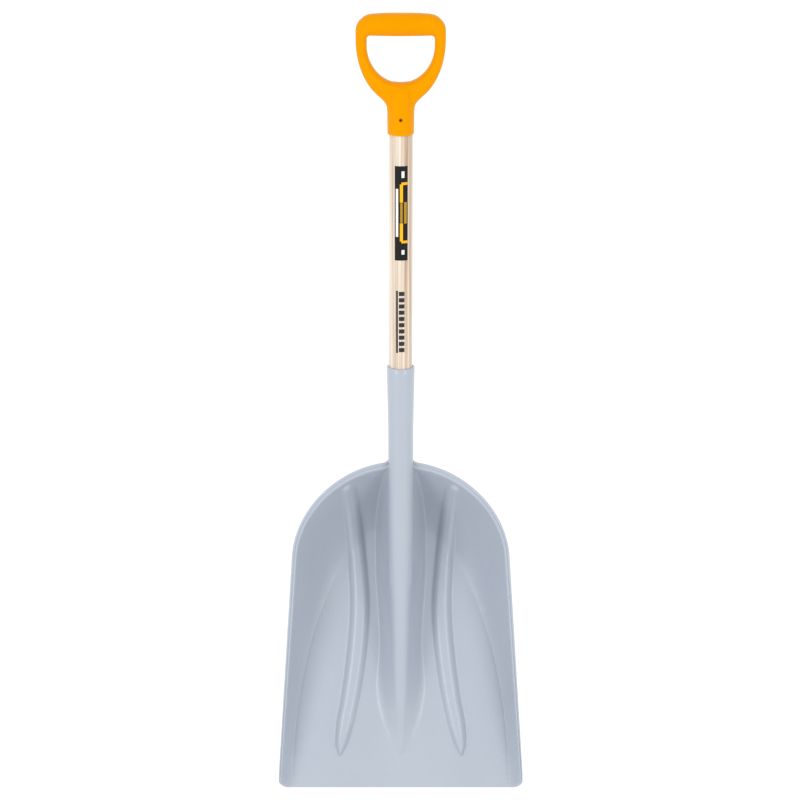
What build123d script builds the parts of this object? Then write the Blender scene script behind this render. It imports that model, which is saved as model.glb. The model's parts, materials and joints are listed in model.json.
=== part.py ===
from build123d import *
import os
from math import asin, atan, atan2, cos, degrees, hypot, radians, sin, sqrt

# Grain scoop shovel: a moulded scoop with a socket, a wooden shaft and a moulded D-grip.
# Everything is drawn in the tool's own frame: X across, Y from the front edge towards the grip
# and Z up from the flat floor of the scoop, in millimetres. The finished pieces are then tilted
# together into the pose in which the shovel lies on the ground, on its heel and its grip.

# Scoop outline, wall and rim
WALL = 3.0
FRONT_HALF_WIDTH = 191.5
SIDE_TAPER = 0.065
ARCH_START = 365.0
ARCH_LENGTH = 147.0
FRONT_CORNER_WIDTH = 18.0
FRONT_CORNER_LENGTH = 24.0
RIM_FRONT_HEIGHT = 22.0
RIM_SLOPE = 0.1875
LIP_FRONT_WIDTH = 4.0
LIP_SIDE_WIDTH = 7.5
LIP_BACK_WIDTH = 10.0
CREASE_HALF_WIDTH = 169.0
CREASE_LENGTH = 410.0
DISH_LEVELS = 4
WALL_SLANT = 0.25
WALL_FLOOR_STEEPNESS = 0.35
WALL_RIM_STEEPNESS = 2.75
FRONT_OVERRUN = 12.0
MOUTH_OVERRUN_SHARE = 1.08
ROOM_ABOVE_RIM = 60.0

# Blocks from which plans are cut, from below the floor to above the rim or the ribs
BLOCK_BOTTOM = -20.0
OUTLINE_BLOCK_HEIGHT = 240.0
RIB_BLOCK_HEIGHT = 125.0

# One rib of the pair, from its rounded rear end to its pointed front end:
# distance of its middle from the centre line, distance from the front edge, width
RIB_HEIGHT = 9.0
RIB_STATIONS = (
    (78.7, 464.0, 23.5),
    (72.4, 410.0, 26.0),
    (67.7, 354.0, 29.0),
    (64.1, 284.0, 31.0),
    (68.5, 213.0, 32.0),
    (78.7, 141.0, 30.5),
    (88.3, 93.0, 27.0),
    (93.6, 63.0, 15.0),
)
RIB_TIP = (95.2, 48.6)

# Handle axis, which rises from the floor of the scoop
HANDLE_LIFT = 17.25
AXIS_FOOT = 122.0

# Central ridge: distance from the front edge, half-width at the base, half-width at the top, height
RIDGE_STATIONS = (
    (50.0, 3.0, 1.0, 0.8),
    (61.0, 12.5, 6.0, 3.5),
    (93.0, 24.5, 10.5, 11.0),
    (127.0, 31.5, 11.8, 21.0),
    (150.0, 33.5, 12.0, 28.0),
    (221.0, 31.0, 12.0, 50.0),
    (292.0, 34.0, 12.5, 71.5),
    (330.0, 36.5, 13.0, 82.0),
    (386.0, 37.0, 14.0, 92.0),
    (450.0, 39.5, 14.5, 110.0),
    (525.0, 49.0, 15.0, 131.0),
)
RIDGE_SHOULDER = 4.0
RIDGE_ROOT = -10.0
RIDGE_CHANNEL_ROOT = -20.0

# Socket tube, measured along the handle axis from its foot
SOCKET_NOSE = 178.0
SOCKET_NOSE_RADIUS = 13.0
SOCKET_SHOULDER = 212.0
SOCKET_RADIUS = 19.2
SOCKET_FLARE_LENGTH = 100.0
SOCKET_MOUTH = 561.0
SOCKET_MOUTH_RADIUS = 21.3
SOCKET_MOUTH_ROUND = 1.5

# Shaft: a 30 inch handle, tapered where it sits in the socket and in the grip
SHAFT_END = 222.0
SHAFT_LENGTH = 762.0
SHAFT_RADIUS = 17.7
SHAFT_END_RADIUS = 14.0
SHAFT_TENON_RADIUS = 16.0
FIT_CLEARANCE = 0.1

# D-grip, measured from the mouth of its collar along the handle axis
COLLAR_MOUTH = 923.5
COLLAR_MOUTH_RADIUS = 19.8
COLLAR_RADIUS = 20.5
COLLAR_LENGTH = 48.0
COLLAR_NOSE = 74.0
NECK_START = 36.0
NECK_HALF_WIDTH = 19.5
GRIP_LENGTH = 182.0
GRIP_HALF_WIDTH = 67.0
GRIP_HALF_THICKNESS = 12.0
GRIP_EDGE_RADIUS = 7.0
GRIP_BOW_CENTRE = 143.0
GRIP_BOW_LENGTH = 98.0
GRIP_SHOULDER = 156.5
GRIP_CORNER_RADIUS = 26.0
GRIP_CROWN = 1.5
OPENING_HALF_WIDTH = 50.5
OPENING_CENTRE = 134.0
OPENING_BOW_LENGTH = 57.5
OPENING_TOP = 150.0
OPENING_CORNER_RADIUS = 6.0
BAR_CENTRE = 165.1
BAR_HALF_LENGTH = 60.0
BAR_HAND_HALF_LENGTH = 44.0
BAR_HAND_END_RADIUS = 15.3
BAR_TURN_HALF_LENGTH = 55.5
BAR_TURN_RADIUS = 11.5

# Pin through the collar and the shaft
PIN_PLACE = COLLAR_MOUTH + 24.4
PIN_RADIUS = 2.25
PIN_RECESS = 0.6
PIN_RING_RADIUS = 4.0
PIN_RING_FLOOR = COLLAR_RADIUS - 0.9

# Screw through the back of the socket
SCREW_PLACE = SOCKET_MOUTH - 45.0
SCREW_SEAT_HEIGHT = 19.7
SCREW_SEAT_RADIUS = 5.5
SCREW_HEAD_RADIUS = 4.75
SCREW_HEAD_HEIGHT = 3.0
SCREW_CROWN_RADIUS = 3.0
SCREW_SHANK_RADIUS = 2.4
SCREW_POINT_LENGTH = 5.0
SCREW_LENGTH = 24.0

# Label on the front of the shaft
LABEL_START = 731.7
LABEL_LENGTH = 145.7
LABEL_WIDTH = 19.2
LABEL_SHIFT = 0.7
LABEL_THICKNESS = 0.25

# Where the tilted shovel touches the ground under the heel of the scoop
HEEL_Y = 410.8
HEEL_Z = 0.0

lift = radians(HANDLE_LIFT)
outline_length = ARCH_START + ARCH_LENGTH


def handle_plane(distance, height=0.0):
    """Plane facing up from the handle's front: local X across, local Y along the handle axis."""
    y = AXIS_FOOT + distance * cos(lift) - height * sin(lift)
    z = distance * sin(lift) + height * cos(lift)
    return Plane(origin=(0, y, z), x_dir=(1, 0, 0), z_dir=(0, -sin(lift), cos(lift)))


def handle_side_plane(distance):
    """Plane through the handle axis: local X up from the handle's front, local Y along the axis."""
    origin = handle_plane(distance).origin
    return Plane(origin=origin, x_dir=(0, -sin(lift), cos(lift)), z_dir=(-1, 0, 0))


def sloping_plane(height, slope):
    """Plane across the scoop, at a height over the front edge and rising towards the back."""
    return Plane(origin=(0, 0, height), x_dir=(1, 0, 0), z_dir=(0, -sin(slope), cos(slope)))


handle_axis = Axis((0, AXIS_FOOT, 0), (0, cos(lift), sin(lift)))
screw_axis = Axis(handle_plane(SCREW_PLACE).origin, (0, -sin(lift), cos(lift)))
screw_head_top = -SCREW_SEAT_HEIGHT - SCREW_HEAD_HEIGHT
screw_point = SCREW_LENGTH - SCREW_SEAT_HEIGHT
bar_axis = Axis(handle_plane(COLLAR_MOUTH + BAR_CENTRE).origin, (1, 0, 0))


def tapered_arch(y, front_half_width, taper, arch_length):
    """Half-width of an outline with straight tapering sides and an arched back."""
    beyond = min(max((y - ARCH_START) / arch_length, 0.0), 1.0)
    return (front_half_width - taper * y) * sqrt(1 - beyond ** 2)


def outline_half_width(y):
    """Half-width of the scoop out to the edge of its rim."""
    return tapered_arch(y, FRONT_HALF_WIDTH, SIDE_TAPER, ARCH_LENGTH)


# The mouth is the upper edge of the wall, inside the rim's lip
mouth_front = FRONT_HALF_WIDTH - LIP_FRONT_WIDTH
mouth_taper = (mouth_front - outline_half_width(ARCH_START) + LIP_SIDE_WIDTH) / ARCH_START
mouth_length = outline_length - LIP_BACK_WIDTH


def mouth_half_width(y):
    """Half-width of the scoop at the upper edge of its wall."""
    return tapered_arch(y, mouth_front, mouth_taper, ARCH_LENGTH - LIP_BACK_WIDTH)


def wall_rise(share):
    """Height of the wall as a share of the rim's height, from 0 at the crease to 1 at the rim."""
    return WALL_SLANT * share + (1 - WALL_SLANT) * share ** 2


def dish_level(share, skin):
    """One level of the dish, from its floor at share 0 to its rim at 1, moved outwards by skin."""
    steepness = atan(WALL_FLOOR_STEEPNESS + (WALL_RIM_STEEPNESS - WALL_FLOOR_STEEPNESS) * share)
    out = skin * sin(steepness)
    length = CREASE_LENGTH + (mouth_length - CREASE_LENGTH) * share
    slope = atan(wall_rise(share) * RIM_SLOPE * mouth_length / length)
    height = wall_rise(share) * RIM_FRONT_HEIGHT - skin * cos(steepness)
    right_side = []
    for turn in range(0, 91, 6):
        reach = sin(radians(turn))
        crease = CREASE_HALF_WIDTH * cos(radians(turn))
        half_width = crease + (mouth_half_width(mouth_length * reach) - crease) * share
        widened = half_width * (1 + out / CREASE_HALF_WIDTH)
        right_side.append((widened, (length + out) * reach / cos(slope)))
    front_corner = (right_side[0][0], -FRONT_OVERRUN)
    right_side.insert(0, front_corner)
    left_side = [(-x, y) for x, y in reversed(right_side[:-1])]
    with BuildSketch(sloping_plane(height, slope)) as level:
        with BuildLine():
            Spline(*right_side, *left_side)
            Line(left_side[-1], front_corner)
        make_face()
    return level.sketch


def outline_plan():
    """The scoop's outline in plan, with its rounded front corners."""
    arch = []
    for turn in range(0, 91, 9):
        y = ARCH_START + ARCH_LENGTH * sin(radians(turn))
        arch.append((outline_half_width(y), y))
    back = arch + [(-x, y) for x, y in reversed(arch[:-1])]
    corner_end = outline_half_width(FRONT_CORNER_LENGTH)
    corner_start = corner_end - FRONT_CORNER_WIDTH
    corner_size = (FRONT_CORNER_WIDTH, FRONT_CORNER_LENGTH)
    with BuildSketch() as plan:
        with BuildLine():
            Line((-corner_start, 0), (corner_start, 0))
            EllipticalCenterArc((corner_start, FRONT_CORNER_LENGTH), *corner_size,
                                start_angle=270, arc_size=90)
            Line((corner_end, FRONT_CORNER_LENGTH), back[0])
            Spline(*back, tangents=[(-SIDE_TAPER, 1), (-SIDE_TAPER, -1)])
            Line(back[-1], (-corner_end, FRONT_CORNER_LENGTH))
            EllipticalCenterArc((-corner_start, FRONT_CORNER_LENGTH), *corner_size,
                                start_angle=180, arc_size=90)
        make_face()
    return plan.sketch


def rib_plan(trim):
    """Plan of one rib, made narrower all round by trim."""
    left = [(x - width / 2 + trim, y) for x, y, width in RIB_STATIONS]
    right = [(x + width / 2 - trim, y) for x, y, width in RIB_STATIONS]
    rear_x, rear_y, rear_width = RIB_STATIONS[0]
    tip = (RIB_TIP[0], RIB_TIP[1] + 2 * trim)
    with BuildSketch() as plan:
        with BuildLine():
            ThreePointArc(left[0], (rear_x, rear_y + rear_width / 2 - trim), right[0])
            Spline(*right, tip)
            Spline(*left, tip)
        make_face()
    return plan.sketch


def ridge_section(station, trim, base):
    """Cross-section of the central ridge, with drafted sides and a crowned top."""
    y, base_half, top_half, height = station
    base_half = max(base_half - trim, 0.9)
    top_half = max(top_half - trim, 0.5)
    top = height - trim
    shoulder = top - min(RIDGE_SHOULDER, 0.5 * height)
    draft = (base_half - top_half) / max(height, 8.0)
    spread = base_half - draft * base
    with BuildSketch(Plane(origin=(0, y, 0), x_dir=(1, 0, 0), z_dir=(0, -1, 0))) as section:
        with BuildLine():
            Line((-spread, base), (spread, base))
            Line((spread, base), (top_half, shoulder))
            ThreePointArc((top_half, shoulder), (0, top), (-top_half, shoulder))
            Line((-top_half, shoulder), (-spread, base))
        make_face()
    return section.sketch


def shaft_profile(clearance):
    """Half of the shaft's long section, from the handle axis outwards."""
    start = SHAFT_END - clearance
    end = SHAFT_END + SHAFT_LENGTH + clearance
    points = (
        (0, start),
        (SHAFT_END_RADIUS + clearance, start),
        (SHAFT_RADIUS + clearance, SOCKET_MOUTH),
        (SHAFT_RADIUS + clearance, COLLAR_MOUTH),
        (SHAFT_TENON_RADIUS + clearance, end),
        (0, end),
    )
    with BuildSketch() as profile:
        with BuildLine():
            Polyline(*points, close=True)
        make_face()
    return profile.sketch


def grip_plan():
    """Half of the grip's plan, mirrored, without its collar."""
    bow = []
    for turn in range(-60, 1, 6):
        x = GRIP_HALF_WIDTH * cos(radians(turn))
        y = GRIP_BOW_CENTRE + GRIP_BOW_LENGTH * sin(radians(turn))
        bow.append((x, y))
    neck = (NECK_HALF_WIDTH, NECK_START)
    shoulder = (GRIP_HALF_WIDTH, GRIP_SHOULDER)
    corner = (GRIP_HALF_WIDTH - GRIP_CORNER_RADIUS, GRIP_LENGTH - GRIP_CROWN)
    with BuildSketch() as plan:
        with BuildLine():
            Line((0, NECK_START), neck)
            Spline(neck, *bow, tangents=[(0, 1), (0, 1)])
            Line(bow[-1], shoulder)
            Spline(shoulder, corner, (0, GRIP_LENGTH), tangents=[(0, 1), (-1, 0)])
            Line((0, GRIP_LENGTH), (0, NECK_START))
        make_face()
        mirror(about=Plane.YZ)
        add(opening_plan(), mode=Mode.SUBTRACT)
    return plan.sketch


def opening_plan():
    """The finger opening of the grip, with a bowed bottom and a nearly square top."""
    start = (-OPENING_HALF_WIDTH, OPENING_CENTRE)
    end = (OPENING_HALF_WIDTH, OPENING_CENTRE)
    top_right = (OPENING_HALF_WIDTH, OPENING_TOP)
    top_left = (-OPENING_HALF_WIDTH, OPENING_TOP)
    with BuildSketch() as opening:
        with BuildLine():
            EllipticalCenterArc((0, OPENING_CENTRE), OPENING_HALF_WIDTH, OPENING_BOW_LENGTH,
                                start_angle=180, arc_size=180)
            Polyline(end, top_right, top_left, start)
        make_face()
        fillet(opening.vertices().group_by(Axis.Y)[-1], OPENING_CORNER_RADIUS)
    return opening.sketch


# The dish filled solid from its underside up to the rim, and the space inside it
with BuildPart() as dish_body:
    loft([dish_level(level / DISH_LEVELS, WALL) for level in range(DISH_LEVELS + 1)])

with BuildPart() as dish_space:
    dish_shares = [level / DISH_LEVELS for level in range(DISH_LEVELS + 1)]
    loft([dish_level(share, 0.0) for share in dish_shares + [MOUTH_OVERRUN_SHARE]])

# The room in front of the back wall, carried up above the rim, in which the ridge stands
with BuildPart() as ridge_room:
    add(dish_body.part)
    extrude(ridge_room.faces().sort_by(Axis.Z)[-1], amount=ROOM_ABOVE_RIM)

with BuildPart() as outline_block:
    with BuildSketch(Plane.XY.offset(BLOCK_BOTTOM)):
        add(outline_plan())
    extrude(amount=OUTLINE_BLOCK_HEIGHT)

# Ribs follow the surface of the dish, and are hollow from behind
with BuildPart() as ribs:
    with BuildSketch(Plane.XY.offset(BLOCK_BOTTOM)):
        add(rib_plan(0.0))
    extrude(amount=RIB_BLOCK_HEIGHT)
    mirror(about=Plane.YZ)
    add(dish_body.part, mode=Mode.INTERSECT)
    add(dish_space.part.moved(Pos(0, 0, RIB_HEIGHT)), mode=Mode.SUBTRACT)

with BuildPart() as rib_channels:
    with BuildSketch(Plane.XY.offset(BLOCK_BOTTOM)):
        add(rib_plan(WALL))
    extrude(amount=RIB_BLOCK_HEIGHT)
    mirror(about=Plane.YZ)
    add(dish_space.part.moved(Pos(0, 0, RIB_HEIGHT - WALL)), mode=Mode.SUBTRACT)

# The ridge carries the socket, and is hollow from behind as well
with BuildPart() as ridge:
    loft([ridge_section(station, 0.0, RIDGE_ROOT) for station in RIDGE_STATIONS])
    add(ridge_room.part, mode=Mode.INTERSECT)

with BuildPart() as ridge_channel:
    loft([ridge_section(station, WALL, RIDGE_CHANNEL_ROOT) for station in RIDGE_STATIONS[2:]])

with BuildPart() as socket_tube:
    with BuildSketch(handle_side_plane(0)):
        with BuildLine():
            Polyline(
                (0, SOCKET_NOSE),
                (SOCKET_NOSE_RADIUS, SOCKET_NOSE),
                (SOCKET_RADIUS, SOCKET_SHOULDER),
                (SOCKET_RADIUS, SOCKET_MOUTH - SOCKET_FLARE_LENGTH),
                (SOCKET_MOUTH_RADIUS, SOCKET_MOUTH),
                (0, SOCKET_MOUTH),
                close=True,
            )
        make_face()
    revolve(axis=handle_axis)
    fillet(socket_tube.edges().sort_by(handle_axis)[-1], SOCKET_MOUTH_ROUND)

# What the shaft, the screw and the pin fill
with BuildPart() as shaft_space:
    with BuildSketch(handle_side_plane(0)):
        add(shaft_profile(FIT_CLEARANCE))
    revolve(axis=handle_axis)

with BuildPart() as socket_screw:
    with BuildSketch(handle_side_plane(SCREW_PLACE)):
        with BuildLine():
            Polyline(
                (screw_head_top, 0),
                (screw_point, 0),
                (screw_point - SCREW_POINT_LENGTH, SCREW_SHANK_RADIUS),
                (-SCREW_SEAT_HEIGHT, SCREW_SHANK_RADIUS),
                (-SCREW_SEAT_HEIGHT, SCREW_HEAD_RADIUS),
                (screw_head_top + SCREW_HEAD_HEIGHT / 2, SCREW_HEAD_RADIUS),
                (screw_head_top, SCREW_CROWN_RADIUS),
                close=True,
            )
        make_face()
    revolve(axis=screw_axis)

with BuildPart() as screw_seat:
    with BuildSketch(handle_plane(SCREW_PLACE, -SCREW_SEAT_HEIGHT)):
        Circle(SCREW_SEAT_RADIUS)
    extrude(amount=-SCREW_HEAD_HEIGHT)

with BuildPart() as grip_pin:
    with BuildSketch(handle_plane(PIN_PLACE)):
        Circle(PIN_RADIUS)
    extrude(amount=COLLAR_RADIUS - PIN_RECESS, both=True)

with BuildPart() as scoop_blade:
    add(dish_body.part)
    with BuildSketch(sloping_plane(RIM_FRONT_HEIGHT, atan(RIM_SLOPE))):
        with Locations((0, outline_length / 2)):
            Rectangle(3 * FRONT_HALF_WIDTH, 2 * outline_length)
    extrude(amount=-WALL)
    add(outline_block.part, mode=Mode.INTERSECT)
    add(dish_space.part, mode=Mode.SUBTRACT)
    add(ribs.part)
    add(ridge.part)
    add(rib_channels.part, mode=Mode.SUBTRACT)
    add(ridge_channel.part, mode=Mode.SUBTRACT)
    add(socket_tube.part)
    add(shaft_space.part, mode=Mode.SUBTRACT)
    add(screw_seat.part, mode=Mode.SUBTRACT)
    add(socket_screw.part, mode=Mode.SUBTRACT)

with BuildPart() as handle_shaft:
    with BuildSketch(handle_side_plane(0)):
        add(shaft_profile(0.0))
    revolve(axis=handle_axis)
    add(socket_screw.part, mode=Mode.SUBTRACT)
    add(grip_pin.part, mode=Mode.SUBTRACT)

bar_ends = [(side * BAR_HALF_LENGTH, BAR_CENTRE) for side in (-1, 1)]
bar_turns = [(side * BAR_TURN_HALF_LENGTH, BAR_CENTRE + BAR_TURN_RADIUS) for side in (-1, 1)]
bar_hand = [(side * BAR_HAND_HALF_LENGTH, BAR_CENTRE + BAR_HAND_END_RADIUS) for side in (-1, 1)]

# D-grip: a plate with rounded edges, a thicker crowned bar across its top and a round collar below
with BuildPart() as d_grip:
    with BuildSketch(handle_plane(COLLAR_MOUTH, -GRIP_HALF_THICKNESS)):
        add(grip_plan())
    extrude(amount=2 * GRIP_HALF_THICKNESS)
    flat_faces = d_grip.faces().filter_by(GeomType.PLANE).sort_by(SortBy.AREA)[-2:]
    fillet(flat_faces.edges(), GRIP_EDGE_RADIUS)
    with BuildSketch(handle_plane(COLLAR_MOUTH)):
        with BuildLine():
            Line(bar_ends[1], bar_ends[0])
            ThreePointArc(bar_ends[0], bar_turns[0], bar_hand[0])
            ThreePointArc(bar_hand[0], (0, GRIP_LENGTH), bar_hand[1])
            ThreePointArc(bar_hand[1], bar_turns[1], bar_ends[1])
        make_face()
    revolve(axis=bar_axis)
    with BuildSketch(handle_side_plane(COLLAR_MOUTH)):
        with BuildLine():
            Polyline((0, COLLAR_NOSE), (0, 0), (COLLAR_MOUTH_RADIUS, 0), (COLLAR_RADIUS, COLLAR_LENGTH))
            Spline((COLLAR_RADIUS, COLLAR_LENGTH), (0, COLLAR_NOSE), tangents=[(0, 1), (-1, 0)])
        make_face()
    revolve(axis=handle_axis)
    add(shaft_space.part, mode=Mode.SUBTRACT)
    with BuildSketch(handle_plane(PIN_PLACE)):
        Circle(PIN_RADIUS)
    extrude(amount=2 * COLLAR_RADIUS, both=True, mode=Mode.SUBTRACT)
    with BuildSketch(handle_plane(PIN_PLACE, PIN_RING_FLOOR)):
        Circle(PIN_RING_RADIUS)
    extrude(amount=COLLAR_RADIUS, mode=Mode.SUBTRACT)

with BuildPart() as shaft_label:
    with BuildSketch(handle_plane(LABEL_START + LABEL_LENGTH / 2)):
        with Locations((LABEL_SHIFT, 0)):
            Rectangle(LABEL_WIDTH, LABEL_LENGTH)
    extrude(amount=2 * SHAFT_RADIUS)
    with BuildSketch(handle_side_plane(LABEL_START + LABEL_LENGTH / 2)):
        with Locations((SHAFT_RADIUS + LABEL_THICKNESS / 2, 0)):
            Rectangle(LABEL_THICKNESS, 2 * LABEL_LENGTH)
    revolve(axis=handle_axis, mode=Mode.INTERSECT)

# The shovel lies with the bar of its grip and its heel on the ground
bar_distance = COLLAR_MOUTH + BAR_CENTRE
bar_y = AXIS_FOOT + bar_distance * cos(lift)
bar_z = bar_distance * sin(lift)
bar_radius = GRIP_LENGTH - BAR_CENTRE
reach = hypot(bar_y - HEEL_Y, bar_z - HEEL_Z)
rest_angle = degrees(atan2(bar_z - HEEL_Z, bar_y - HEEL_Y) - asin(bar_radius / reach))
tilt = Rot(-rest_angle, 0, 0)
blade_box = (tilt * scoop_blade.part).bounding_box()
grip_box = (tilt * d_grip.part).bounding_box()
ground = min(blade_box.min.Z, grip_box.min.Z)
middle = (blade_box.min.Y + grip_box.max.Y) / 2
rest = Pos(0, -middle, -ground) * tilt

os.makedirs("parts", exist_ok=True)

scoop_blade.part.label = "scoop_blade"
export_step(scoop_blade.part.moved(rest), "parts/scoop_blade.step")

handle_shaft.part.label = "handle_shaft"
export_step(handle_shaft.part.moved(rest), "parts/handle_shaft.step")

d_grip.part.label = "d_grip"
export_step(d_grip.part.moved(rest), "parts/d_grip.step")

grip_pin.part.label = "grip_pin"
export_step(grip_pin.part.moved(rest), "parts/grip_pin.step")

socket_screw.part.label = "socket_screw"
export_step(socket_screw.part.moved(rest), "parts/socket_screw.step")

shaft_label.part.label = "shaft_label"
export_step(shaft_label.part.moved(rest), "parts/shaft_label.step")

print(f"rest angle {rest_angle:.3f}, middle {middle:.3f}, ground {ground:.3f}")
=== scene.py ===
import json
from math import atan2, cos, pi, radians, sin, tan

import bpy
import numpy as np
from mathutils import Matrix, Vector


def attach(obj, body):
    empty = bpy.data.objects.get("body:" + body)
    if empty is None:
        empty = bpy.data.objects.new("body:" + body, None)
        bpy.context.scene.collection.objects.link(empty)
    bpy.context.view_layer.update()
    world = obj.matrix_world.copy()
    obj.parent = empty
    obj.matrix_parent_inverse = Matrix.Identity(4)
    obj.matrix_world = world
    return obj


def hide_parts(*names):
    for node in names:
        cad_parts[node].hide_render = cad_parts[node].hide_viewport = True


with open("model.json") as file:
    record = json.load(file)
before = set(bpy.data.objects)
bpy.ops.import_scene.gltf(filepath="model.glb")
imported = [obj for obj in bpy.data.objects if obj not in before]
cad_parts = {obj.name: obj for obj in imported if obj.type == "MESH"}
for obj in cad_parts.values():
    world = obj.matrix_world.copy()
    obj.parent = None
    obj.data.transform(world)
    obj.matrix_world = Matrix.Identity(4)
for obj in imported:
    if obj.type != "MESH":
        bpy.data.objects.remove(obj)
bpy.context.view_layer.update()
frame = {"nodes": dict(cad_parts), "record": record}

# Shapes are worked out in millimetres in the tool's own frame: X across the scoop, Y from its
# front edge towards the grip, Z up from its flat floor. Points turn into metres on the ground
# only when a mesh is made.
MM = 0.001

# Scoop: outline, wall and rim
WALL = 3.0
FRONT_HALF_WIDTH = 191.5
SIDE_TAPER = 0.065
ARCH_START = 365.0
ARCH_LENGTH = 147.0
CORNER_WIDTH = 18.0
CORNER_LENGTH = 24.0
CORNER_FADE = 66.0
RIM_FRONT_HEIGHT = 22.0
RIM_SLOPE = 0.1875
LIP_FRONT_WIDTH = 4.0
LIP_SIDE_WIDTH = 7.5
LIP_BACK_WIDTH = 10.0
RIM_ROUNDING = 2.6
CREASE_HALF_WIDTH = 169.0
CREASE_LENGTH = 410.0
CREASE_SOFTNESS = 0.5
CREASE_GROOVE_DEPTH = 0.8
CREASE_GROOVE_WIDTH = 1.7
CREASE_GROOVE_FADE = (200.0, 330.0)
HEEL_SOFTNESS = 5.0
WALL_SLANT = 0.25
MOUTH_FADE = (0.9, 0.985)
LEAST_BLEND = 0.2
RIM_CLEARANCE = 60.0
UNDER_SPREAD_FADE = (0.75, 1.0)
UNDER_SPREAD = 1.05
FRONT_LIP_LENGTH = 24.0
FRONT_LIP_DROP = 0.45
FRONT_LIP_STEP = 3.0
FRONT_EDGE_ROUNDING = 1.1
FRONT_UNDER_ROUNDING = 0.8
FRONT_UNDER_LENGTH = 14.0

# Rim's lip: share of its width from the wall outwards, and drop below the rim's plane
LIP_TOP = (
    (0.05, 0.0), (0.12, 0.0), (0.24, 0.0), (0.36, 0.1), (0.42, 0.6), (0.48, 1.0), (0.53, 1.0), (0.58, 0.6),
    (0.64, 0.1), (0.74, 0.05), (0.82, 0.35), (0.89, 0.8), (0.95, 1.4), (0.985, 1.9), (1.0, 2.4),
)
LIP_UNDER = ((0.985, 2.8), (0.95, 3.0))
LIP_WEB_WIDTH = 9.0
LIP_WEB_LENGTH = 5.0
LIP_WEB_SHARE = 0.9

# One rib of the pair: distance from the front edge, distance of its middle from the centre, width
RIB_HEIGHT = 9.0
RIB_STATIONS = (
    (48.6, 95.2, 0.0), (63.0, 93.6, 15.0), (93.0, 88.3, 27.0), (141.0, 78.7, 30.5), (213.0, 68.5, 32.0),
    (284.0, 64.1, 31.0), (354.0, 67.7, 29.0), (410.0, 72.4, 26.0), (464.0, 78.7, 23.5),
)
RIB_RUN_OUT = 30.0
RIB_NARROWEST = 0.4
RIB_FULLNESS = 2.4
RIB_FOOT_SOFTNESS = 1.2
RIB_CHANNEL_DEPTH = 2.4
RIB_CREST_GROOVE = 0.4
RIB_CREST_GROOVE_WIDTH = 1.4

# Central ridge: distance from the front edge, half-width at its base, radius of its top
RIDGE_STATIONS = (
    (50.0, 3.0, 1.3), (61.0, 12.5, 7.7), (93.0, 24.5, 12.5), (127.0, 31.5, 13.5), (150.0, 33.5, 13.8),
    (221.0, 31.0, 14.2), (292.0, 34.0, 15.2), (330.0, 36.5, 16.8), (386.0, 37.0, 18.6),
    (430.0, 38.3, 19.2), (475.0, 42.5, 18.85), (525.0, 49.0, 18.85),
)
RIDGE_NOSE = 50.0
RIDGE_NOSE_HEIGHTS = ((50.0, 0.8), (61.0, 3.5), (93.0, 11.0), (127.0, 21.2), (150.0, 28.4), (165.0, 33.2))
RIDGE_NOSE_LENGTH = 4.0
RIDGE_NARROWEST = 0.6
RIDGE_FRONT_FILLET = 9.0
RIDGE_BACK_FILLET = 16.0
RIDGE_FILLET_GROWTH = (230.0, 430.0)
RIDGE_LEAST_FILLET = 0.8
RIDGE_FILLET_SHARE = 0.3
RIDGE_SINK = 0.35
RIDGE_SINK_FADE = (430.0, 475.0)
RIDGE_GROOVE_DEPTH = 0.7
RIDGE_GROOVE_WIDTH = 1.5
RIDGE_GROOVE_START = (58.0, 75.0)
RIDGE_GROOVE_FADE = (245.0, 275.0)
CHANNEL_FADE = (85.0, 97.0)
CHANNEL_CLEARANCE = 5.0
CHANNEL_FRONT_SOFTNESS = 1.5
CHANNEL_BACK_SOFTNESS = 6.5
CHANNEL_SOFTENING = (300.0, 400.0)

# Socket tube, shaft room and screw seat, along the handle axis from its foot
SOCKET_STRAIGHT_RADIUS = 19.2
SOCKET_OUTSIDE = (
    (178.0, 0.0), (178.0, 10.0), (179.5, 12.2), (183.0, 13.8), (212.0, 18.5), (330.0, 18.7),
    (364.0, SOCKET_STRAIGHT_RADIUS), (461.0, SOCKET_STRAIGHT_RADIUS),
    (551.0, 21.09), (559.4, 21.27), (560.4, 20.9), (561.0, 20.0), (561.0, 0.0),
)
SHAFT_ROOM = (
    (222.0, 0.0), (222.0, 14.1), (560.2, 17.8), (561.1, 18.5), (565.0, 18.5), (565.0, 0.0),
)
SOCKET_SIDES = 88
SOCKET_SPACING = 6.0
ROOM_SPACING = 30.0
SCREW_PLACE = 516.0
SCREW_SEAT_HEIGHT = 19.7
SCREW_SEAT_RADIUS = 5.5
SCREW_SEAT_DEPTH = 8.0
SCREW_SEAT_SIDES = 48
SHAFT_RADIUS = 17.7

# The shaft with its clearance: distance along the handle axis from its foot, radius
SHAFT_CLEARANCE = ((222.0, 14.1), (561.0, 17.8), (923.5, 17.8), (984.1, 16.1))

# Grip, from the mouth of its collar along the handle axis
COLLAR_MOUTH = 923.5
COLLAR_PROFILE = (
    (0.0, 19.3), (0.5, 19.8), (48.0, 20.5), (56.0, 19.6), (64.0, 16.8), (70.0, 13.0), (74.0, 8.0),
)
GRIP_LENGTH = 182.0
GRIP_HALF_WIDTH = 67.0
GRIP_HALF_THICKNESS = 12.0
GRIP_EDGE_RADIUS = 7.8
NECK_START = 36.0
NECK_HALF_WIDTH = 19.5
BOW_CENTRE = 143.0
BOW_LENGTH = 98.0
BOW_START = -60
BOW_STEP = 3
BOW_PULL = 0.16
SHOULDER = 156.5
CORNER_REACH = 26.0
GRIP_CROWN = 1.5
OPENING_HALF_WIDTH = 50.5
OPENING_CENTRE = 134.0
OPENING_BOW = 57.5
OPENING_TOP = 150.0
OPENING_CORNER = 6.0
BAR_CENTRE = 165.1
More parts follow.
